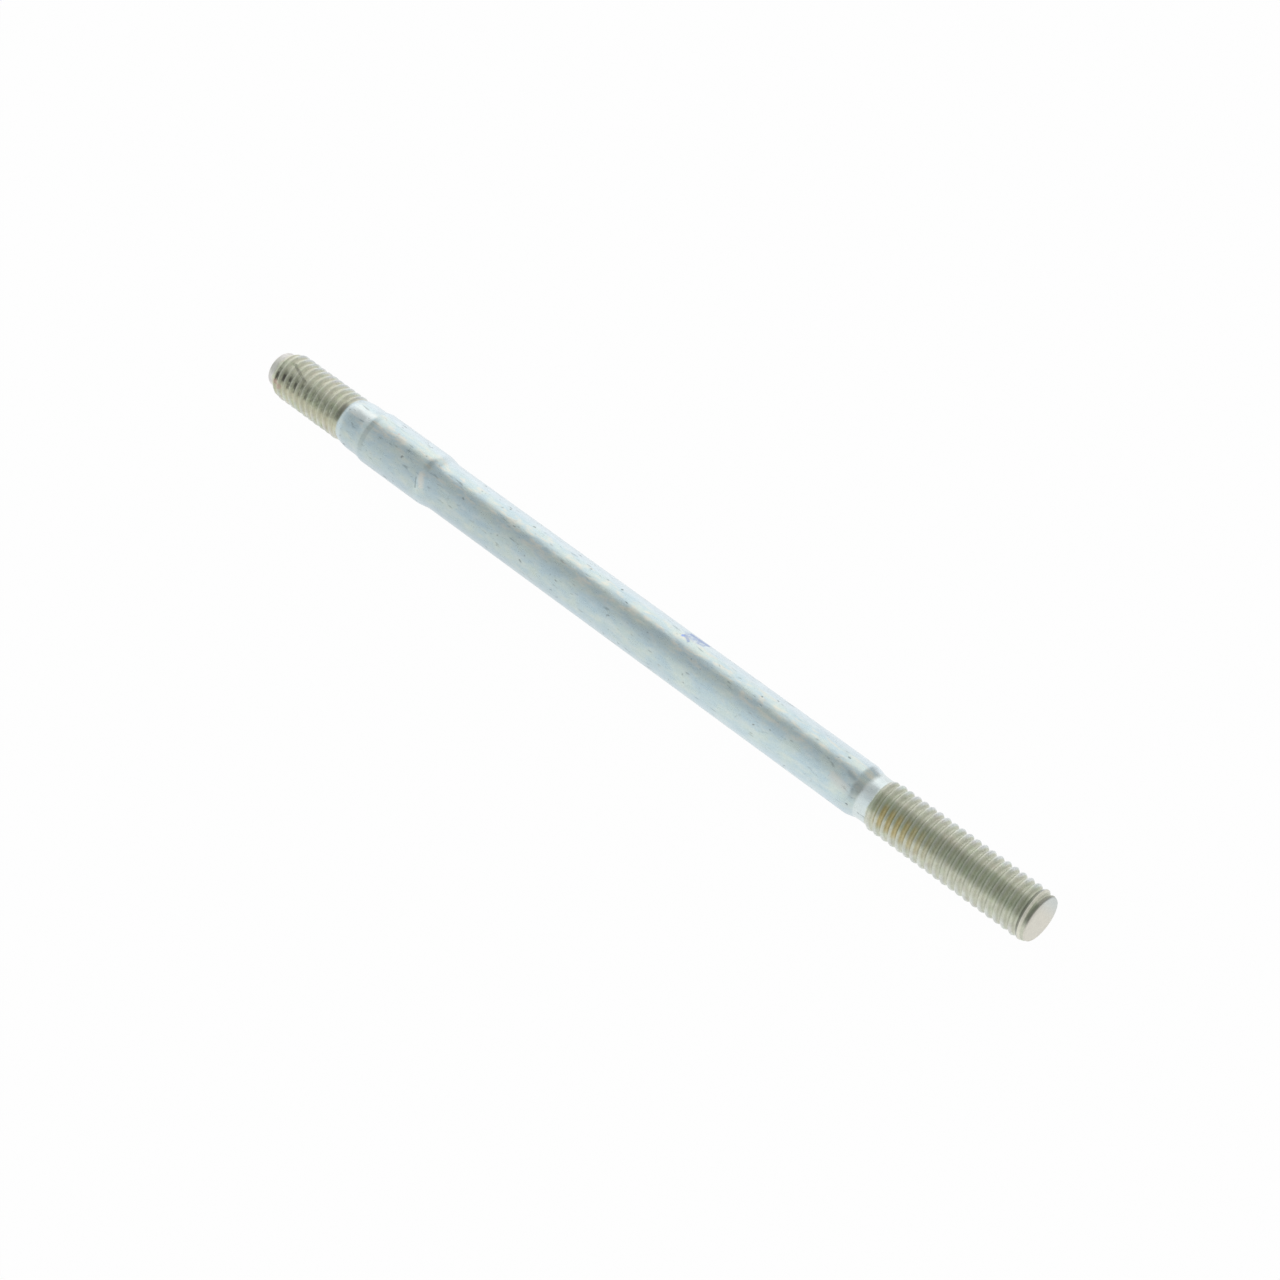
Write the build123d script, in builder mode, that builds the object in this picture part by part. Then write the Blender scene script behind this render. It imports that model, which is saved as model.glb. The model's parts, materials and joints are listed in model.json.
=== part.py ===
# A double-ended stud: one steel bar, turned to its steps and with a thread rolled on each end.
# Its axis is X. The short end screws into a casing towards -X, the long end takes a nut towards +X,
# and the origin is on the axis where the short end's thread stops. Sizes are in millimetres.
# The threaded ends are plain here, at the diameter of the thread's crests.

import os

from build123d import *

# Short end: a plain tip with a rounded rim, then the lead-in that rises to the thread's crests
thread_diameter = 5.95
short_thread_length = 11.2
tip_diameter = 4.4
tip_length = 1.0
tip_edge_radius = 0.25
lead_in_length = 1.4

# Groove where the short thread runs out
groove_diameter = 5.5
groove_length = 0.45
groove_side_length = 0.25
groove_radius = 0.15

# Guide that centres the stud in its hole: a rounded start, a plain band and the rise to the collar
guide_diameter = 6.1
guide_start_length = 1.8
guide_band_length = 1.35
rise_length = 1.1
rise_radius = 0.8

# Collar that stops the stud in its hole, and the blended step down from it
collar_diameter = 6.55
collar_length = 9.6
collar_radius = 0.4
step_length = 1.5
step_radius = 2.0

# Plain shank, and the shoulder where it drops to the bar that the long thread was rolled on
shank_diameter = 6.0
shank_length = 63.4
shoulder_length = 1.25
shoulder_radius = 0.8
neck_diameter = 5.35
neck_length = 1.35

# Long end: the thread's crests rise from the neck, and its end is bevelled to a flat face
long_thread_length = 21.2
crest_rise_length = 1.0
end_bevel_length = 0.8
end_face_diameter = 5.3
end_edge_radius = 0.15

# Stations along the axis
tip_shoulder_x = -short_thread_length
tip_x = tip_shoulder_x - tip_length
lead_in_end_x = tip_shoulder_x + lead_in_length
groove_start_x = groove_side_length
groove_end_x = groove_length
guide_start_x = groove_end_x + guide_start_length
guide_end_x = guide_start_x + guide_band_length
collar_start_x = guide_end_x + rise_length
collar_end_x = collar_start_x + collar_length
shank_start_x = collar_end_x + step_length
shank_end_x = shank_start_x + shank_length
neck_start_x = shank_end_x + shoulder_length
neck_end_x = neck_start_x + neck_length
crest_start_x = neck_end_x + crest_rise_length
end_x = neck_end_x + long_thread_length
bevel_start_x = end_x - end_bevel_length

# Radii of the turned sections
thread_radius = thread_diameter / 2
tip_radius = tip_diameter / 2
groove_bottom_radius = groove_diameter / 2
guide_radius = guide_diameter / 2
collar_outer_radius = collar_diameter / 2
shank_outer_radius = shank_diameter / 2
neck_outer_radius = neck_diameter / 2
end_face_radius = end_face_diameter / 2

# Rounds at the outline's corners, from the guide's band to the long end's face: 0 is a sharp edge
collar_corners = (rise_radius, collar_radius, step_radius, step_radius)
neck_corners = (shoulder_radius, shoulder_radius, 0)
long_end_corners = (0, 0, end_edge_radius)
corner_radii = collar_corners + neck_corners + long_end_corners

with BuildPart() as stud:
    # Half of the lengthwise section, above the axis
    with BuildSketch(Plane.XZ) as half_section:
        with BuildLine():
            # The lead-in and the guide's start leave their straight runs on an arc
            lead_in = TangentArc(
                (lead_in_end_x, thread_radius),
                (tip_shoulder_x, tip_radius),
                tangent=(-1, 0),
            )
            guide_start = TangentArc(
                (guide_start_x, guide_radius),
                (groove_end_x, groove_bottom_radius),
                tangent=(-1, 0),
            )
            tip = FilletPolyline(
                lead_in @ 1,
                (tip_x, tip_radius),
                (tip_x, 0),
                radius=tip_edge_radius,
            )
            FilletPolyline(
                lead_in @ 0,
                (0, thread_radius),
                (groove_start_x, groove_bottom_radius),
                guide_start @ 1,
                radius=(0, groove_radius),
            )
            body = FilletPolyline(
                guide_start @ 0,
                (guide_end_x, guide_radius),
                (collar_start_x, collar_outer_radius),
                (collar_end_x, collar_outer_radius),
                (shank_start_x, shank_outer_radius),
                (shank_end_x, shank_outer_radius),
                (neck_start_x, neck_outer_radius),
                (neck_end_x, neck_outer_radius),
                (crest_start_x, thread_radius),
                (bevel_start_x, thread_radius),
                (end_x, end_face_radius),
                (end_x, 0),
                radius=corner_radii,
            )
            Line(body @ 1, tip @ 1)
        make_face()
    revolve(axis=Axis.X)

stud.part.label = "stud_bolt"

os.makedirs("parts", exist_ok=True)
export_step(stud.part, "parts/stud_bolt.step")
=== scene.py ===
import json
import math

import bpy
import numpy as np
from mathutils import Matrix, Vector


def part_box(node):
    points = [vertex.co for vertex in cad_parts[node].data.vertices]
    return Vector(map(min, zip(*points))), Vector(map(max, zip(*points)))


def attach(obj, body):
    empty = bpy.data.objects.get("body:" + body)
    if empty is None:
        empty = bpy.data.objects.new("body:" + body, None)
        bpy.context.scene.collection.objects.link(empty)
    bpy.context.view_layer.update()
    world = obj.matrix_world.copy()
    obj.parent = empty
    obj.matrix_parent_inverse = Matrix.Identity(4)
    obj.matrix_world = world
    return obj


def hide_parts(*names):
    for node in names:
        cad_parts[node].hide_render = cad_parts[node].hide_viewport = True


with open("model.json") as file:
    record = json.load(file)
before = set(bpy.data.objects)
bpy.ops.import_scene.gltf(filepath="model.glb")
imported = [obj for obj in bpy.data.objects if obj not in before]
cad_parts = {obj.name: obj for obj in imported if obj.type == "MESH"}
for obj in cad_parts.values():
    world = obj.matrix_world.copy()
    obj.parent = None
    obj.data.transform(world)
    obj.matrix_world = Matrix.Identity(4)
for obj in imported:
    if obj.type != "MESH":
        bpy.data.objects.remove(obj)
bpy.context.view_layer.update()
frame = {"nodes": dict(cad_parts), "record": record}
print("frame loaded:", ", ".join(frame["nodes"]))

mm = 0.001
mounts = {mount["name"]: mount for mount in frame["record"]["mounts"]}
boxLow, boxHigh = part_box("stud_bolt")
shortMount, longMount = mounts["casing_thread"], mounts["nut_thread"]

# The stud's turned sizes, in millimetres along and out from the axis
stud = {
    "tipX": boxLow.x / mm,
    "tipRadius": 2.2,
    "tipShoulder": -11.2,
    "leadInEnd": shortMount["pos_m"][0] / mm - shortMount["dims"]["length_mm"],
    "crestRadius": shortMount["dims"]["r_mm"],
    "grooveRadius": 2.75,
    "grooveSide": 0.25,
    "grooveEnd": 0.45,
    "guideRadius": 3.05,
    "guideStart": 2.25,
    "guideEnd": 3.6,
    "collarRadius": boxHigh.z / mm,
    "collarStart": 4.7,
    "collarEnd": 14.3,
    "shankStart": 15.8,
    "shankRadius": 3.0,
    "shankEnd": 79.2,
    "neckStart": 80.45,
    "neckRadius": 2.675,
    "neckEnd": 81.8,
    "crestStart": longMount["pos_m"][0] / mm,
    "bevelStart": longMount["pos_m"][0] / mm + longMount["dims"]["length_mm"],
    "endX": boxHigh.x / mm,
    "endFaceRadius": 2.65,
    "tipRound": 0.25,
    "endRound": 0.06,
    "endTilt": 0.22,
    "endFarSide": 302,
    # reach of the blend over a corner: crisp at the collar's start, soft at the step and at the shoulder
    "blendAt": (4.2, 4.6, 4.8, 5.2, 13.6, 14.0, 16.1, 16.5, 78.5, 78.9, 80.8, 81.2),
    "blendReach": (0.15, 0.05, 0.05, 0.15, 0.15, 0.35, 0.35, 0.15, 0.15, 0.24, 0.24, 0.15),
    # mesh: columns round, rows along the body and near each bend, shares of the radius over a flat face
    "columns": 96,
    "bodyRows": 60,
    "bendRows": 31,
    "bendReach": 0.6,
    "faceShares": (1.0, 0.97, 0.9, 0.75, 0.5, 0.25, 0.0),
    "overrun": 1.0,
    "fineStep": 0.01,
    "rowDigits": 4,
    "weldDigits": 5,
}

# The rolled thread on both ends: a right-hand 60 degree vee with soft crests
thread = {
    "pitch": 1.0,
    "depth": 0.38,
    "flankDegrees": 60,
    "crestFlatShare": 0.30,
    "crestRound": 0.18,
    "rootRound": 0.12,
    "shortPhase": 0.16,
    "longPhase": 0.18,
    "shortFull": -0.6,
    "shortGone": 0.35,
    "longGone": 81.5,
    "longFull": 82.6,
    "wobble": 0.010,
    # unevenness of the crests: size, waves round the stud, turn per millimetre, start
    "wobbleWaves": ((1.0, 2, 1.3, 0.0), (0.7, 5, -2.1, 1.0)),
    "endEase": 0.04,
    "gridOverlap": 0.05,
    "spareTurns": 2,
    # places across one pitch where the grid has a line, from the middle of the crest
    "lineShares": (0.0, 0.05, 0.09, 0.12, 0.15, 0.18, 0.22, 0.27, 0.33, 0.39, 0.45,
                   0.55, 0.61, 0.67, 0.73, 0.78, 0.82, 0.85, 0.88, 0.91, 0.95),
}


def smoothStep(low, high, value):
    # 0 below low, 1 above high, and a smooth S between them
    share = np.clip((value - low) / (high - low), 0, 1)
    return share * share * (3 - 2 * share)


def softPositive(value, roundness):
    # the larger of value and 0, with the corner rounded off
    return 0.5 * (value + np.sqrt(value * value + roundness * roundness))


def arcDrop(away, reach, drop):
    # fall of an arc that leaves a straight run level and is drop lower once it is reach away
    arc = (reach ** 2 + drop ** 2) / (2 * drop)
    return arc - np.sqrt(arc ** 2 - np.clip(away, 0, reach) ** 2)


def blankRadius(x):
    # Radius of the turned blank at x: straight runs between corners, an arc for the lead-in and one for the
    # guide's start, each point the mean of a short length either side, less the bevel and the rounded rims
    corners = np.array([
        (stud["tipX"] - stud["overrun"], stud["tipRadius"]),
        (stud["tipShoulder"], stud["tipRadius"]),
        (stud["leadInEnd"], stud["crestRadius"]), (0, stud["crestRadius"]),
        (stud["grooveSide"], stud["grooveRadius"]), (stud["grooveEnd"], stud["grooveRadius"]),
        (stud["guideStart"], stud["guideRadius"]), (stud["guideEnd"], stud["guideRadius"]),
        (stud["collarStart"], stud["collarRadius"]), (stud["collarEnd"], stud["collarRadius"]),
        (stud["shankStart"], stud["shankRadius"]), (stud["shankEnd"], stud["shankRadius"]),
        (stud["neckStart"], stud["neckRadius"]), (stud["neckEnd"], stud["neckRadius"]),
        (stud["crestStart"], stud["crestRadius"]),
        (stud["endX"] + stud["overrun"], stud["crestRadius"]),
    ])
    fineX = np.arange(corners[0, 0], corners[-1, 0], stud["fineStep"])
    outline = np.interp(fineX, corners[:, 0], corners[:, 1])
    arcs = (("tipShoulder", "leadInEnd", "tipRadius", "crestRadius"),
            ("grooveEnd", "guideStart", "grooveRadius", "guideRadius"))
    for low, high, lowRadius, highRadius in arcs:
        drop = stud[highRadius] - stud[lowRadius]
        curve = stud[highRadius] - arcDrop(stud[high] - fineX, stud[high] - stud[low], drop)
        outline = np.where((fineX > stud[low]) & (fineX < stud[high]), curve, outline)
    area = np.cumsum(outline) * stud["fineStep"]
    reach = np.interp(x, stud["blendAt"], stud["blendReach"])
    radius = (np.interp(x + reach, fineX, area) - np.interp(x - reach, fineX, area)) / (2 * reach)

    fromEnd = np.clip(stud["endX"] - x, 0, None)
    bevelSlope = (stud["crestRadius"] - stud["endFaceRadius"]) / (stud["endX"] - stud["bevelStart"])
    bevel = stud["endFaceRadius"] + bevelSlope * fromEnd
    fromTip = np.clip(x - stud["tipX"], 0, None)
    rims = arcDrop(stud["tipRound"] - fromTip, stud["tipRound"], stud["tipRound"])
    rims = rims + arcDrop(stud["endRound"] - fromEnd, stud["endRound"], stud["endRound"])
    return np.minimum(radius, bevel) - rims


def vee(turn):
    # Depth below the crest at a share of a pitch from the crest's middle: flat, 60 degree flank, round root
    away = np.abs(turn - np.round(turn))
    steep = math.tan(math.radians(thread["flankDegrees"]))
    flank = steep * thread["pitch"] * (away - thread["crestFlatShare"] / 2)
    cut = softPositive(flank, thread["crestRound"])
    return thread["depth"] - softPositive(thread["depth"] - cut, thread["rootRound"])


def studRadius(x, angle):
    # Radius at x and angle: the blank, cut by the vee that winds once a pitch where a thread was rolled.
    # A rolled crest stands above the blank it rises from, so the vee fades into the blank at the run-outs
    blank = blankRadius(x)
    phase = np.where(x < stud["shankStart"], thread["shortPhase"], thread["longPhase"])
    turn = x / thread["pitch"] - angle / (2 * math.pi) + phase
    uneven = sum(size * np.sin(waves * angle + twist * x + start)
                 for size, waves, twist, start in thread["wobbleWaves"])
    winding = stud["crestRadius"] + thread["wobble"] * uneven - vee(turn)
    rolled = 1 - smoothStep(thread["shortFull"], thread["shortGone"], x)
    rolled = rolled + smoothStep(thread["longGone"], thread["longFull"], x)
    cut = blank + rolled * (winding - blank)
    atEnds = (x < stud["leadInEnd"]) | (x > stud["bevelStart"] - thread["pitch"] / 2)
    return np.where(atEnds, blank - softPositive(blank - winding, thread["endEase"]), cut)


def ringAngles():
    # even steps once round the stud
    return np.arange(stud["columns"]) / stud["columns"] * 2 * math.pi


def helixGrid(startX, endX, phase):
    # Rows that follow the thread: each row advances one pitch a turn and is held between two plain circles.
    # After a whole turn a row meets the one that lies one pitch on, so the last column closes on that row
    lines = np.array(thread["lineShares"])
    firstCrest = math.floor(startX / thread["pitch"] + phase) - thread["spareTurns"]
    turns = math.ceil((endX - startX) / thread["pitch"]) + 2 * thread["spareTurns"]
    rowX = (firstCrest - phase + np.arange(turns)[:, None] + lines[None, :]).ravel() * thread["pitch"]
    angle = ringAngles()
    x = np.clip(rowX[:, None] + thread["pitch"] * angle[None, :] / (2 * math.pi), startX, endX)
    index = np.arange(x.size).reshape(x.shape)
    onward = np.minimum(np.arange(len(rowX)) + len(lines), len(rowX) - 1)
    return x, np.broadcast_to(angle, x.shape), np.concatenate([index, index[onward, :1]], axis=1)


def ringGrid(rowX):
    # Plain rows: circles at the given places along the axis
    x = np.repeat(np.asarray(rowX, float)[:, None], stud["columns"], axis=1)
    index = np.arange(x.size).reshape(x.shape)
    return x, np.broadcast_to(ringAngles(), x.shape), np.concatenate([index, index[:, :1]], axis=1)


def weld(points, quads):
    # Points that share a place become one, and quads that lose a corner by it become triangles
    rounded = np.round(points, stud["weldDigits"])
    _, keep, same = np.unique(rounded, axis=0, return_index=True, return_inverse=True)
    quads = same.ravel()[quads]
    doubled = quads == np.roll(quads, -1, axis=1)
    lost = doubled.sum(1)
    triangles = quads[lost == 1][~doubled[lost == 1]].reshape(-1, 3)
    return points[keep], quads[lost == 0].tolist() + triangles.tolist()


def makeStud():
    # Every stretch is a grid of (x, angle) with its radius from studRadius times a share of it:
    # the share is 1 along the stud and falls to 0 over the flat faces, so both ends close to a point
    bends = ("grooveEnd", "guideStart", "guideEnd", "collarStart",
             "collarEnd", "shankStart", "shankEnd", "neckStart")
    near = np.linspace(-stud["bendReach"], stud["bendReach"], stud["bendRows"])
    bodyStart = thread["shortGone"] + thread["gridOverlap"]
    bodyEnd = thread["longGone"] - thread["gridOverlap"]
    even = np.linspace(bodyStart, bodyEnd, stud["bodyRows"])
    rows = np.concatenate([even] + [stud[bend] + near for bend in bends])
    rows = np.unique(np.round(rows[(rows >= bodyStart) & (rows <= bodyEnd)], stud["rowDigits"]))
    shrink = np.array(stud["faceShares"])
    stretches = [
        (ringGrid(np.full(len(shrink), stud["tipX"])), shrink[::-1, None]),
        (helixGrid(stud["tipX"], bodyStart, thread["shortPhase"]), 1.0),
        (ringGrid(rows), 1.0),
        (helixGrid(bodyEnd, stud["endX"], thread["longPhase"]), 1.0),
        (ringGrid(np.full(len(shrink), stud["endX"])), shrink[:, None]),
    ]
    points, quads, count = [], [], 0
    for (x, angle, index), share in stretches:
        radius = studRadius(x, angle) * share
        # the long end was cropped a little out of square, longest on its far side
        farSide = 1 + radius * np.cos(angle - math.radians(stud["endFarSide"])) / stud["endFaceRadius"]
        placeX = x + stud["endTilt"] / 2 * farSide * smoothStep(stud["bevelStart"], stud["endX"], x)
        points.append(np.stack([placeX, radius * np.cos(angle), radius * np.sin(angle)], -1).reshape(-1, 3))
        corners = [index[:-1, :-1], index[:-1, 1:], index[1:, 1:], index[1:, :-1]]
        quads.append(np.stack(corners, -1).reshape(-1, 4) + count)
        count += x.size
    places, faces = weld(np.concatenate(points), np.concatenate(quads))

    mesh = bpy.data.meshes.new("stud")
    mesh.from_pydata((places * mm).tolist(), [], faces)
    mesh.polygons.foreach_set("use_smooth", np.ones(len(mesh.polygons), bool))
    mesh.update()
    piece = bpy.data.objects.new("stud", mesh)
    bpy.context.scene.collection.objects.link(piece)
    print("stud:", len(places), "points,", len(faces), "faces")
    return piece


class Wire:
    # One socket in a node tree: arithmetic on it adds Math nodes, node() adds any other kind

    def __init__(self, tree, socket=None):
        self.tree = tree
        self.socket = socket

    def node(self, kind, settings, inputs, output=0):
        made = self.tree.nodes.new(kind)
        for name, value in settings.items():
            setattr(made, name, value)
        for name, value in inputs.items():
            if isinstance(value, Wire):
                self.tree.links.new(value.socket, made.inputs[name])
            else:
                made.inputs[name].default_value = value
        return Wire(self.tree, made.outputs[output])

    def into(self, socket):
        self.tree.links.new(self.socket, socket)

    def maths(self, operation, first, second=0.0):
        return self.node("ShaderNodeMath", {"operation": operation}, {0: first, 1: second})

    def __add__(self, other):
        return self.maths("ADD", self, other)

    def __radd__(self, other):
        return self.maths("ADD", other, self)

    def __sub__(self, other):
        return self.maths("SUBTRACT", self, other)

    def __rsub__(self, other):
        return self.maths("SUBTRACT", other, self)

    def __mul__(self, other):
        return self.maths("MULTIPLY", self, other)

    def __rmul__(self, other):
        return self.maths("MULTIPLY", other, self)

    def __truediv__(self, other):
        return self.maths("DIVIDE", self, other)

    def __pow__(self, other):
        return self.maths("POWER", self, other)

    def upTo(self, other):
        return self.maths("MINIMUM", self, other)

    def atLeast(self, other):
        return self.maths("MAXIMUM", self, other)

    def absolute(self):
        return self.maths("ABSOLUTE", self)

    def sine(self):
        return self.maths("SINE", self)

    def step(self, low, high):
        # 0 at low, 1 at high, smooth between; low may be the larger
        return self.node("ShaderNodeMapRange", {"interpolation_type": "SMOOTHSTEP"},
                         {"Value": self, "From Min": low, "From Max": high})

    def between(self, low, high, soft):
        # 1 between low and high, falling to 0 over soft on either side
        return self.step(low - soft, low) * self.step(high + soft, high)

    def dot(self, direction):
        return self.node("ShaderNodeVectorMath", {"operation": "DOT_PRODUCT"}, {0: self, 1: direction}, 1)

    def times(self, scales):
        return self.node("ShaderNodeVectorMath", {"operation": "MULTIPLY"}, {0: self, 1: scales})

    def brighter(self, scale):
        # this colour times a value that may be a wire
        return self.node("ShaderNodeVectorMath", {"operation": "SCALE"}, {0: self, "Scale": scale})

    def noise(self, stretch, scale, detail, roughness):
        return self.node("ShaderNodeTexNoise", {}, {"Vector": self.times(stretch), "Scale": scale,
                                                    "Detail": detail, "Roughness": roughness})

    def swing(self):
        # noise about its middle value
        return self - 0.5

    def lift(self, low, high):
        # low where this is 0, high where it is 1
        return self * (high - low) + low

    def fromLine(self, start, end):
        # distance of this place from the straight line between two points
        along = end - start
        offset = self.node("ShaderNodeVectorMath", {"operation": "SUBTRACT"}, {0: self, 1: start})
        share = offset.dot(along / along.length_squared).upTo(1.0).atLeast(0.0)
        foot = self.node("ShaderNodeVectorMath", {"operation": "SCALE"}, {0: along, "Scale": share})
        return self.node("ShaderNodeVectorMath", {"operation": "DISTANCE"}, {0: offset, 1: foot}, 1)


def blend(share, first, second, mode="MIX"):
    # second over first by share; either colour may be a wire. The Mix node's colours are sockets 6, 7 and 2
    settings = {"data_type": "RGBA", "blend_type": mode}
    return share.node("ShaderNodeMix", settings, {0: share, 6: first, 7: second}, 2)


def colour(red, green, blue):
    return (red, green, blue, 1.0)


def around(degrees):
    # direction out from the axis, turned from +Y towards +Z
    return Vector((0, math.cos(math.radians(degrees)), math.sin(math.radians(degrees))))


def unrolled(x, degrees):
    # a place on the surface once it is rolled out flat, with the camera's side in the middle
    return Vector((x, math.radians(degrees - plate["cameraSide"]) * stud["shankRadius"], 0))


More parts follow.
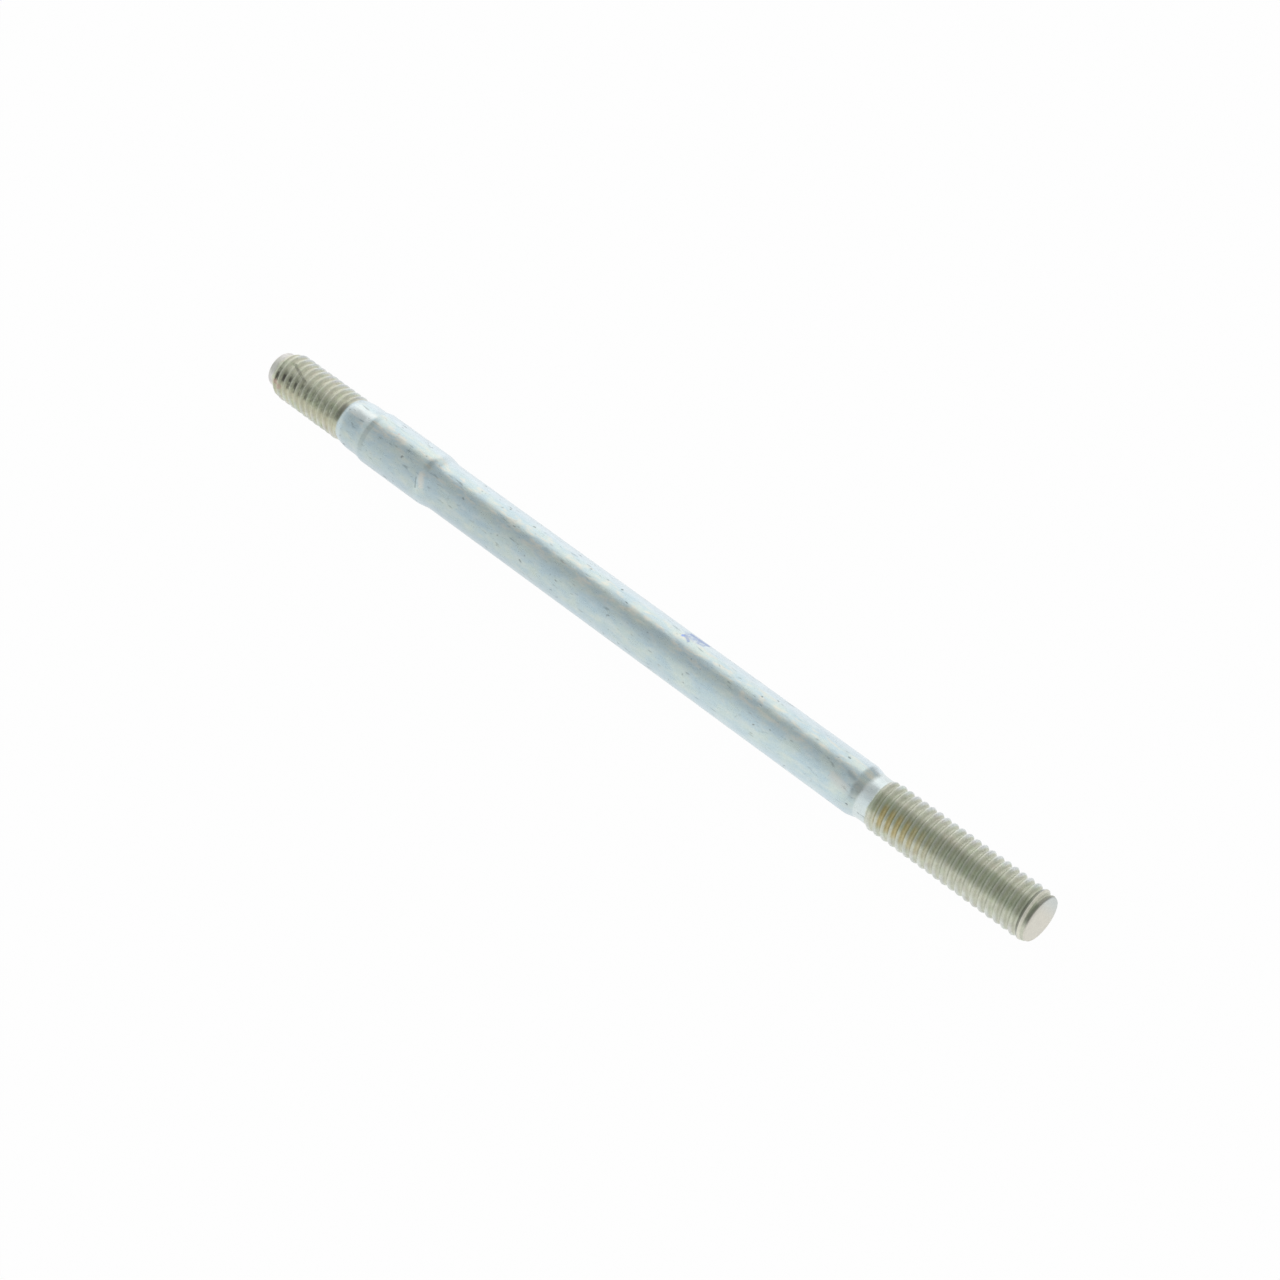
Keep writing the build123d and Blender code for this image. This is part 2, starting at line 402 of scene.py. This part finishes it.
# The finish: clear zinc on the body, olive on the threads, with the marks of storage and handling and with
# painted light and shade
plate = {
    "tint": {
        "zincBlue": colour(0.51, 0.63, 0.66),
        "zincGreen": colour(0.57, 0.66, 0.62),
        "zincWarm": colour(0.71, 0.68, 0.58),
        "zincEdge": colour(0.56, 0.68, 0.75),
        "zincPale": colour(0.74, 0.81, 0.80),
        "zincTop": colour(0.79, 0.88, 0.93),
        "olive": colour(0.45, 0.49, 0.37),
        "olivePale": colour(0.68, 0.70, 0.58),
        "crest": colour(0.42, 0.45, 0.36),
        "crestPale": colour(0.84, 0.88, 0.88),
        "khaki": colour(0.72, 0.72, 0.52),
        "shortPale": colour(0.80, 0.81, 0.67),
        "gold": colour(0.58, 0.48, 0.20),
        "castGreen": colour(0.90, 1.00, 0.88),
        "castRose": colour(1.00, 0.92, 0.94),
        "lip": colour(0.86, 0.85, 0.74),
        "rust": colour(0.62, 0.40, 0.36),
        "bare": colour(0.80, 0.79, 0.76),
        # pale of the step's painted highlight and of the shoulder's wear
        "worn": colour(0.72, 0.70, 0.62),
        "endSteel": colour(0.75, 0.73, 0.65),
        # dark of grime, and of painted shade in grooves and at the long end
        "grime": colour(0.055, 0.050, 0.042),
        "fleck": colour(0.16, 0.20, 0.20),
        "ink": colour(0.24, 0.36, 0.74),
    },
    "roughness": 0.30,
    "threadRoughness": 0.56,
    "dullRoughness": 0.25,
    "bloomRoughness": 0.16,
    "grainRoughness": 0.08,
    "threadMetal": 0.75,
    "dullMetal": 0.20,
    "coat": 0.45,
    "coatRoughness": 0.35,
    # sides of the stud, in degrees from +Y towards +Z
    "cameraSide": 122,
    "shortSide": 138,
    "upperEdge": 92,
    "goldSide": 146,
    # noise: stretch, scale per millimetre, detail and roughness
    "noise": {
        "edge": ((1, 1, 1), 2.0, 3.0, 0.5),
        "mottle": ((1, 0.6, 0.6), 1.6, 4.0, 0.65),
        "clouds": ((0.5, 1, 1), 0.7, 4.0, 0.6),
        "bloom": ((0.35, 1, 1), 1.7, 3.0, 0.55),
        "grain": ((1, 1, 1), 7.0, 2.0, 0.6),
        "blotch": ((1, 1, 1), 2.6, 3.0, 0.6),
        "cast": ((0.5, 1, 1), 0.8, 3.0, 0.6),
        "fleck": ((0.6, 1, 1), 1.9, 1.0, 0.5),
        "streak": ((0.25, 1, 1), 2.4, 2.0, 0.5),
        "patch": ((1, 1, 1), 1.4, 3.0, 0.6),
        "ink": ((1, 1, 1), 2.2, 2.0, 0.5),
        "wavy": ((0.6, 1, 1), 0.9, 2.0, 0.5),
        "ripple": ((0.4, 1, 1), 2.2, 2.0, 0.5),
    },
    # values of the noise between which a pattern comes in
    "level": {
        "clouds": (0.38, 0.66),
        "bloom": (0.47, 0.67),
        "blotch": (0.46, 0.66),
        "castGreen": (0.52, 0.68),
        "castRose": (0.48, 0.32),
        "fleck": (0.70, 0.80),
        "streak": (0.62, 0.76),
        "patch": (0.35, 0.60),
        "ink": (0.38, 0.60),
    },
    # stretches along the stud in millimetres: from, to and softness
    "span": {
        "grime": (-10.5, -0.8, 0.2),
        "runOut": (-0.15, 0.30, 0.25),
        "guideStart": (0.5, 1.1, 0.5),
        "guideTop": (0.8, 4.2, 0.4),
        "collarLow": (1.5, 13.8, 0.5),
        "collarEdge": (4.75, 5.2, 0.25),
        "neck": (80.4, 81.8, 0.3),
        "lipLine": (101.80, 102.10, 0.08),
        "lip": (102.19, 102.40, 0.07),
        "endGroove": (102.62, 102.90, 0.16),
    },
    # places along it where a finish comes in: none of it at the first, all of it at the second
    "fade": {
        "plainTip": (-11.15, -11.55),
        "shortEnd": (0.75, 0.45),
        "longEnd": (81.85, 82.10),
        "endFace": (102.86, 102.97),
        "grime": (-3.0, -9.0),
        "goldStart": (82.6, 83.1),
        "goldEnd": (92.0, 85.0),
        "nearStart": (14.3, 16.0),
        "nearEnd": (46, 22),
        "farStart": (48, 66),
        "farEnd": (79.5, 78.0),
    },
    # the same round it, by facing: 1 in the middle of a side and 0 at a right angle to it
    "facing": {
        "upper": (0.82, 0.99),
        "outline": (0.80, 0.35),
        "olivePale": (0.99, 0.86),
        "crestPale": (0.80, 0.40),
        "gold": (0.78, 0.98),
        "plainTip": (0.80, 0.98),
        "wave": (0.60, 0.85),
        "lip": (-0.3, 0.2),
        "lipLine": (0.1, 0.6),
        "collarEdge": (0.60, 0.90),
        "grime": (0.93, 0.995),
        "runOut": (0.86, 0.99),
        "endGroove": (-0.2, 0.7),
    },
    # the same by below: -1 at the upper edge in the camera's view and 1 at the lower one
    "below": {
        "top": (-0.72, -0.95),
        "guideTop": (-0.05, -0.35),
        "guideTopEnd": (-0.85, -0.50),
        "khaki": (0.2, 0.7),
        "shortTop": (-0.15, -0.50),
        "crestPale": (0.3, -0.3),
        "collarLow": (0.0, 0.35),
        "collarLowEnd": (0.75, 0.55),
        "near": (0.1, 0.4),
        "far": (-0.25, 0.0),
        "endGroove": (0.75, 0.20),
    },
    # the same by depth in the thread: 0 at the crest and 1 at the root
    "depth": {
        "olive": (0.05, 0.35),
        "shortTop": (0.1, 0.6),
        "crestPale": (0.75, 0.20),
        "gold": (0.15, 0.60),
        "grime": (0.45, 0.90),
    },
    # across the long end's face, in millimetres
    "faceCool": (-0.3, -2.4),
    # how strong each one is; a pair is its least and its most
    "share": {
        "warm": (0.20, 0.65),
        "outline": 0.6,
        "top": 0.7,
        "guideTop": 0.85,
        "neck": 0.7,
        "khaki": 0.7,
        "shortTop": (0.3, 0.9),
        "blotch": 0.35,
        "shortPale": 0.08,
        "crestPale": (0.6, 1.0),
        "cast": 0.45,
        "gold": 0.75,
        "plainTip": (1.0, 0.70),
        "mottle": (0.74, 1.26),
        "wave": 0.09,
        "lip": 0.9,
        "faceCool": 0.4,
        "guideStart": 0.3,
        "collarLowEnd": (0.65, 1.0),
        "collarLow": (1.0, 0.88),
        "collarEdge": (1.0, 0.86),
        "near": 0.10,
        "far": 0.08,
        "fleck": 0.65,
        "streak": 0.45,
        "grimeAlong": (0.4, 1.0),
        "grimePatch": (0.1, 0.95),
        "scratchPatch": (0.15, 0.45),
        "runOut": 0.6,
        "endGroove": 0.5,
        "lipLine": 0.5,
        "grime": 0.9,
        "inkPatch": (0.15, 0.65),
        "ink": 0.65,
        "inkDull": 0.5,
        "fleckDull": 0.6,
    },
    # tone of the whole: its base, then what each noise adds
    "tone": {"base": 0.68, "grain": 0.32, "bloom": 0.22, "clouds": 0.10},
    # how far noise moves an edge: millimetres at the ends, shares round the stud
    "ragged": {"shortEnd": 0.35, "longEnd": 0.30, "plainTip": 0.8, "olivePale": 0.10, "grime": 0.12},
    "wavePlace": 0.18,
    # relief in millimetres
    "relief": {"wavy": 0.045, "ripple": 0.008, "bloom": 0.016, "grain": 0.0025},
    "pitDepth": 0.02,
    "threadRelief": 0.08,
    # marks: noise of their edges; then both ends as (x, degrees), width, solid share of it, and strength
    "markNoise": ((1, 1, 1), 3.0, 3.0, 0.6),
    "mark": {
        "scratch": ((-9.4, 92), (-6.3, 116), 0.24, 0.5, 1.0),
        "tipSpots": ((-10.3, 160), (-9.7, 165), 0.50, 0.5, 0.5),
        "tipSpot": ((-11.0, 103), (-10.9, 103), 0.22, 0.5, 0.5),
        "collarSpot": ((8.4, 88), (8.45, 88), 0.14, 0.5, 0.5),
        # painted highlight on the step
        "stepWorn": ((14.45, 130), (14.9, 150), 0.60, 0.1, 0.75),
        # painted shade: the step's line and dark patch, and the shoulder's dark patch
        "stepLine": ((14.0, 140), (14.3, 160), 0.12, 0.5, 0.5),
        "stepDark": ((14.4, 92), (14.5, 108), 0.75, 0.0, 0.4),
        "shoulderWorn": ((76.9, 134), (78.6, 138), 0.85, 0.1, 0.6),
        "shoulderDark": ((78.1, 108), (78.9, 112), 0.45, 0.1, 0.3),
        "inkDot": ((52.70, 76), (52.78, 75), 0.24, 0.5, 0.85),
        "inkSmear": ((53.2, 60), (54.7, 56), 0.95, 0.5, 1.0),
        "inkTop": ((53.1, 54), (53.6, 52), 0.40, 0.5, 1.0),
        "inkRight": ((54.2, 53), (55.2, 50), 0.45, 0.5, 1.0),
        "inkTail": ((52.8, 70), (53.7, 80), 0.24, 0.5, 0.7),
    },
}


def makeMark(flat, name):
    # a mark along a line on the rolled-out surface, with a ragged edge
    start, end, width, core, share = plate["mark"][name]
    off = flat.fromLine(unrolled(*start), unrolled(*end))
    ragged = flat.noise(*plate["markNoise"]).swing() * width
    return (off + ragged).step(width, width * core) * share


def makePlate():
    material = bpy.data.materials.new("zincPlate")
    material.use_nodes = True
    tree = material.node_tree
    shader = tree.nodes["Principled BSDF"]
    place = Wire(tree).node("ShaderNodeTexCoord", {}, {}, "Object")
    place = place.times((1 / mm, 1 / mm, 1 / mm))
    x = place.dot((1, 0, 0))
    radius = (place.dot((0, 1, 0)) ** 2 + place.dot((0, 0, 1)) ** 2) ** 0.5

    facing = place.dot(around(plate["cameraSide"])) / radius
    below = place.dot(around(plate["cameraSide"] + 90)) / radius
    angle = place.node("ShaderNodeMath", {"operation": "ARCTAN2"}, {0: below, 1: facing})
    flat = place.node("ShaderNodeCombineXYZ", {}, {0: x, 1: angle * stud["shankRadius"]})
    depth = (stud["crestRadius"] - radius) / thread["depth"]
    winding = x - angle * (thread["pitch"] / (2 * math.pi))

    tints, spans, fades = plate["tint"], plate["span"], plate["fade"]
    faced, lowered, sunk = plate["facing"], plate["below"], plate["depth"]
    levels, shares, ragged = plate["level"], plate["share"], plate["ragged"]
    pattern = {name: place.noise(*settings) for name, settings in plate["noise"].items()}
    clouds, bloom, grain, mottle = (pattern[name] for name in ("clouds", "bloom", "grain", "mottle"))
    patchy = pattern["patch"].step(*levels["patch"])

    # where each finish lies
    shortEnd = (x + ragged["shortEnd"] * pattern["edge"]).step(*fades["shortEnd"])
    longEnd = (x + ragged["longEnd"] * pattern["edge"]).step(*fades["longEnd"])
    threads = (shortEnd + longEnd).upTo(1.0)
    endFace = x.step(*fades["endFace"])
    plainTip = (x + mottle.swing() * ragged["plainTip"]).step(*fades["plainTip"])

    # body zinc: cool and warm clouds, pale bloom, painted reflection paler towards the outline, painted
    # highlight on the upper edge and the guide's upper half, and a pale neck
    body = blend(clouds.step(*levels["clouds"]), tints["zincBlue"], tints["zincGreen"])
    # the warm bloom is stronger along the highlight's lower edge: painted warm reflection over random warm
    # clouds
    upper = (place.dot(around(plate["upperEdge"])) / radius).step(*faced["upper"])
    body = blend(bloom.step(*levels["bloom"]) * upper.lift(*shares["warm"]), body, tints["zincWarm"])
    # bluer and paler towards the outline: painted reflection
    body = blend(facing.absolute().step(*faced["outline"]) * shares["outline"], body, tints["zincEdge"])
    # paler and bluer along the upper edge in the camera's view: painted highlight
    body = blend(below.step(*lowered["top"]) * shares["top"], body, tints["zincTop"])
    # the guide's upper half paler: painted highlight
    guideTop = below.step(*lowered["guideTop"]) * below.step(*lowered["guideTopEnd"])
    guideTop = guideTop * x.between(*spans["guideTop"]) * shares["guideTop"]
    neck = x.between(*spans["neck"]) * shares["neck"]
    body = blend(guideTop.atLeast(neck), body, tints["zincPale"])

    # threads: olive only in the band facing the camera, paler round the rest and pale on the crests above
    # and below (painted shade and highlight), gold in the first long turns, bare at the tip
    shortFacing = place.dot(around(plate["shortSide"])) / radius
    bandFacing = (facing + shortEnd * (shortFacing - facing)).absolute()
    rolled = blend(depth.step(*sunk["olive"]), tints["crest"], tints["olive"])
    # olive kept to the band that faces the camera: painted shade there, paler round the rest
    olivePale = (bandFacing + mottle.swing() * ragged["olivePale"]).step(*faced["olivePale"])
    rolled = blend(olivePale, rolled, tints["olivePale"])
    # the short end's lower side paler khaki: painted reflection of the table
    rolled = blend(below.step(*lowered["khaki"]) * shortEnd * shares["khaki"], rolled, tints["khaki"])
    # the short end's upper side paler, most in the grooves: painted light that also evens out the grooves'
    # shade
    shortTop = below.step(*lowered["shortTop"]) * depth.step(*sunk["shortTop"]).lift(*shares["shortTop"])
    rolled = blend(shortTop * shortEnd, rolled, tints["shortPale"])
    blotch = pattern["blotch"].step(*levels["blotch"]) * shares["blotch"] + shares["shortPale"]
    rolled = blend(blotch * shortEnd, rolled, tints["shortPale"])
    # crests paler towards the outline, most on the upper side: painted highlight
    crests = facing.absolute().step(*faced["crestPale"]) * depth.step(*sunk["crestPale"])
    crests = crests * below.step(*lowered["crestPale"]).lift(*shares["crestPale"])
    rolled = blend(crests, rolled, tints["crestPale"])
    for name in ("castGreen", "castRose"):
        cast = pattern["cast"].step(*levels[name]) * shares["cast"]
        rolled = blend(cast, rolled, tints[name], "MULTIPLY")
    goldSide = (place.dot(around(plate["goldSide"])) / radius).step(*faced["gold"])
    gold = goldSide * depth.step(*sunk["gold"]) * x.step(*fades["goldStart"]) * x.step(*fades["goldEnd"])
    rolled = blend(gold * shares["gold"], rolled, tints["gold"])
    # the tip is less bare where it faces the camera: painted shade
    plainTip = plainTip * facing.step(*faced["plainTip"]).lift(*shares["plainTip"])
    rolled = blend(plainTip, rolled, tints["bare"])

    # winding with the thread: painted light and shade that evens out the flanks' shading on the long end's
    # side facing the camera, and the pale lip of the last crest, a painted highlight
    wave = ((winding - plate["wavePlace"]) * (2 * math.pi / thread["pitch"])).sine()
    flanks = 1 + wave * shares["wave"] * facing.step(*faced["wave"]) * longEnd
    rolled = rolled.brighter(mottle.lift(*shares["mottle"]) * flanks)
    # the pale lip on the camera's half of the last crest is a painted highlight
    lip = winding.between(*spans["lip"]) * facing.step(*faced["lip"])
    rolled = blend(lip * shares["lip"], rolled, tints["lip"])

    # threads over the body, the face of the long end, bluer on its upper part as a painted reflection, and
    # the guide's start
    tint = blend(threads, body, rolled)
    faceCool = (below * radius).step(*plate["faceCool"]) * shares["faceCool"]
    tint = blend(endFace, tint, blend(faceCool, tints["endSteel"], tints["zincEdge"]))
    guideStart = x.between(*spans["guideStart"]) * (1 - threads)
    tint = blend(guideStart * shares["guideStart"], tint, tints["zincEdge"])

    # uneven tone: grain and clouds all over; then painted shade low down on the collar, at the collar's
    # start and low down on the near shank, and painted light low down on the far shank
    tone = plate["tone"]
    shade = tone["base"] + grain * tone["grain"] + bloom * tone["bloom"] + clouds * tone["clouds"]
    # collar and guide darker low down: painted shade
    collarLow = x.between(*spans["collarLow"]) * below.step(*lowered["collarLow"])
    collarLow = collarLow * below.step(*lowered["collarLowEnd"]).lift(*shares["collarLowEnd"])
    # collar's start darker where it faces the camera: painted shade
    collarEdge = x.between(*spans["collarEdge"]) * facing.step(*faced["collarEdge"])
    shade = shade * collarLow.lift(*shares["collarLow"]) * collarEdge.lift(*shares["collarEdge"])
    # near shank darker and far shank paler low down: painted shade and painted light
    near = x.step(*fades["nearStart"]) * x.step(*fades["nearEnd"]) * below.step(*lowered["near"])
    far = x.step(*fades["farStart"]) * x.step(*fades["farEnd"]) * below.step(*lowered["far"])
    tint = tint.brighter(shade * (1 - near * shares["near"] + far * shares["far"]))

    # a painted highlight on the step and the shoulder worn bare, dark marks of painted shade beside them,
    # flecks in the zinc and streaks lengthways
    # the pale patch on the step is a painted highlight, the one before the shoulder is wear
    worn = makeMark(flat, "stepWorn").atLeast(makeMark(flat, "shoulderWorn"))
    tint = blend(worn, tint, tints["worn"])
    fleck = pattern["fleck"].step(*levels["fleck"]) * (1 - threads)
    streak = pattern["streak"].step(*levels["streak"]) * (1 - threads)
    dark = (fleck * shares["fleck"]).atLeast(streak * shares["streak"])
    # the step's line and dark patch and the shoulder's dark patch are painted shade, in the flecks' dark
    # colour
    for name in ("stepLine", "stepDark", "shoulderDark"):
        dark = dark.atLeast(makeMark(flat, name))
    tint = blend(dark, tint, tints["fleck"])

    # grime and painted shade in the short thread's grooves and run-out, on the side facing the camera, a
    # scratch over its turns, painted shade in dark lines at the long end
    # the grooves and run-out darken only on the side facing the camera: grime and painted shade
    lowSide = (shortFacing + mottle.swing() * ragged["grime"]).step(*faced["grime"])
    inGroove = depth.step(*sunk["grime"]) * lowSide * x.between(*spans["grime"])
    inGroove = inGroove * x.step(*fades["grime"]).lift(*shares["grimeAlong"])
    runOut = x.between(*spans["runOut"]) * facing.step(*faced["runOut"])
    scratch = makeMark(flat, "scratch") * patchy.lift(*shares["scratchPatch"])
    # the last groove and the flank beside the last crest darkened: painted shade
    endGroove = below.step(*lowered["endGroove"]) * facing.step(*faced["endGroove"])
    endGroove = endGroove * x.between(*spans["endGroove"])
    lipLine = winding.between(*spans["lipLine"]) * facing.step(*faced["lipLine"])
    grime = (inGroove * patchy.lift(*shares["grimePatch"])).atLeast(runOut * shares["runOut"])
    grime = grime.atLeast(scratch).atLeast(endGroove * shares["endGroove"])
    grime = grime.atLeast(lipLine * shares["lipLine"])
    tint = blend(grime * shares["grime"], tint, tints["grime"])

    # spots of rust at the tip and on the collar, and the marker's blue on the shank
    rust = makeMark(flat, "tipSpots")
    for name in ("tipSpot", "collarSpot"):
        rust = rust.atLeast(makeMark(flat, name))
    tint = blend(rust, tint, tints["rust"])
    ink = makeMark(flat, "inkSmear") * pattern["ink"].step(*levels["ink"]).lift(*shares["inkPatch"])
    for name in ("inkTop", "inkRight", "inkTail"):
        ink = ink.atLeast(makeMark(flat, name))
    tint = blend((ink * shares["ink"]).atLeast(makeMark(flat, "inkDot")), tint, tints["ink"])
    tint.into(shader.inputs["Base Color"])

    # grime and painted shade, ink and flecks are dull and less metallic
    dull = grime.atLeast(ink * shares["inkDull"]).atLeast(fleck * shares["fleckDull"])
    plain = threads * (1 - endFace) * (1 - plate["threadMetal"])
    (1 - plain.atLeast(dull * (1 - plate["dullMetal"]))).into(shader.inputs["Metallic"])
    rough = plate["roughness"] + threads * (plate["threadRoughness"] - plate["roughness"])
    rough = rough + dull * plate["dullRoughness"] + bloom.swing() * plate["bloomRoughness"]
    (rough + grain.swing() * plate["grainRoughness"]).into(shader.inputs["Roughness"])

    # relief: rolled waviness, cloudy plate, grain, pits and the rough of the threads
    relief = mottle * threads * plate["threadRelief"] - fleck * plate["pitDepth"]
    for name, height in plate["relief"].items():
        relief = relief + pattern[name] * height
    bump = place.node("ShaderNodeBump", {}, {"Strength": 1.0, "Distance": mm, "Height": relief})
    bump.into(shader.inputs["Normal"])
    shader.inputs["Coat Weight"].default_value = plate["coat"]
    shader.inputs["Coat Roughness"].default_value = plate["coatRoughness"]
    print("plate:", len(tree.nodes), "nodes")
    return material


# White table under the stud, tipped so that the collar and the long thread both touch it
table = {"half": 3.0, "white": colour(0.93, 0.93, 0.93), "roughness": 0.8, "glow": 0.975}


def makeTable():
    slope = (stud["collarRadius"] - stud["crestRadius"]) / (stud["bevelStart"] - stud["collarEnd"])
    height = -(stud["collarRadius"] + slope * stud["collarEnd"]) * mm
    half = table["half"]
    square = ((-half, -half), (half, -half), (half, half), (-half, half))
    corners = [(px, py, height + slope * px) for px, py in square]
    mesh = bpy.data.meshes.new("table")
    mesh.from_pydata(corners, [], [(0, 1, 2, 3)])
    floor = bpy.data.objects.new("table", mesh)
    bpy.context.scene.collection.objects.link(floor)

    material = bpy.data.materials.new("tableWhite")
    material.use_nodes = True
    tree = material.node_tree
    shader = tree.nodes["Principled BSDF"]
    shader.inputs["Base Color"].default_value = table["white"]
    shader.inputs["Roughness"].default_value = table["roughness"]
    wire = Wire(tree)
    seen = wire.node("ShaderNodeLightPath", {}, {}, "Is Camera Ray")
    mirrored = wire.node("ShaderNodeLightPath", {}, {}, "Is Glossy Ray")
    through = wire.node("ShaderNodeLightPath", {}, {}, "Is Transmission Ray")
    share = seen.atLeast(mirrored).atLeast(through) * table["glow"]
    glow = wire.node("ShaderNodeEmission", {}, {"Color": colour(1, 1, 1), "Strength": 1.0})
    both = wire.node("ShaderNodeMixShader", {}, {0: share, 1: Wire(tree, shader.outputs[0]), 2: glow})
    both.into(tree.nodes["Material Output"].inputs["Surface"])
    floor.data.materials.append(material)


# Soft studio light: a pale room that is greyer overhead, brighter behind the short end, where one wide
# panel stands, and dim beyond the long end and around the camera. A reach runs from none of it to all of it
studio = {
    "horizon": colour(0.89, 0.92, 0.96),
    "overhead": colour(0.54, 0.55, 0.56),
    "overheadTowards": (-0.6, 0.15, 0.78),
    "overheadReach": (0.20, 1.05),
    "leftEnd": colour(1.1, 1.1, 1.08),
    "leftEndTowards": (1, 0, 0),
    "leftEndReach": (-0.84, -0.95),
    "behind": colour(1.17, 1.15, 1.16),
    "behindTowards": (0, 1, 0),
    "behindReach": (0.08, 0.6),
    "beyond": colour(0.60, 0.60, 0.59),
    "beyondTowards": (1.0, 0.2, 0.0),
    "beyondReach": (-0.22, -0.02),
    "dim": colour(0.38, 0.36, 0.35),
    "dimTowards": (0.454, -0.472, 0.756),
    "dimReach": (0.75, 0.96),
    "panelPlace": (-0.6, 0.75, 0.65),
    "panelAim": (0.045, 0.0, 0.0),
    "panelWidth": 1.4,
    "panelHeight": 0.9,
    "panelPower": 0.65,
}


def makeStudio():
    world = bpy.data.worlds.new("studio")
    world.use_nodes = True
    tree = world.node_tree
    direction = Wire(tree).node("ShaderNodeTexCoord", {}, {}, "Generated")
    room = studio["horizon"]
    for part in ("overhead", "leftEnd", "behind", "beyond", "dim"):
        share = direction.dot(studio[part + "Towards"]).step(*studio[part + "Reach"])
        room = blend(share, room, studio[part])
    room.into(tree.nodes["Background"].inputs["Color"])
    bpy.context.scene.world = world

    panel = bpy.data.lights.new("panel", "AREA")
    panel.shape = "RECTANGLE"
    panel.size = studio["panelWidth"]
    panel.size_y = studio["panelHeight"]
    panel.energy = studio["panelPower"]
    lamp = bpy.data.objects.new("panel", panel)
    lamp.location = studio["panelPlace"]
    lamp.rotation_mode = "QUATERNION"
    towards = Vector(studio["panelAim"]) - Vector(studio["panelPlace"])
    lamp.rotation_quaternion = towards.to_track_quat("-Z", "Y")
    bpy.context.scene.collection.objects.link(lamp)
    bpy.context.scene.view_settings.view_transform = "Standard"


# The photograph's view: degrees, metres and a lens in millimetres
view = {
    "azimuth": 43.95,
    "elevation": 49.11,
    "distance": 0.31866,
    "lens": 81.855,
    "aim": (0.04776, -0.00083, -0.00052),
    "clipStart": 0.01,
    "clipEnd": 20.0,
}


def makeCamera():
    lens = bpy.data.cameras.new("camera")
    lens.lens = view["lens"]
    lens.clip_start = view["clipStart"]
    lens.clip_end = view["clipEnd"]
    camera = bpy.data.objects.new("camera", lens)
    turn, rise = math.radians(view["azimuth"]), math.radians(view["elevation"])
    back = Vector((math.sin(turn) * math.cos(rise), -math.cos(turn) * math.cos(rise), math.sin(rise)))
    camera.location = Vector(view["aim"]) + back * view["distance"]
    camera.rotation_mode = "QUATERNION"
    camera.rotation_quaternion = (-back).to_track_quat("-Z", "Y")
    bpy.context.scene.collection.objects.link(camera)
    bpy.context.scene.camera = camera


makeCamera()
makeStudio()
makeTable()
print("camera, light and table set")
studPiece = makeStud()
studPiece.data.materials.append(makePlate())
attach(studPiece, "root")
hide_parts("stud_bolt")
print("stud dressed")
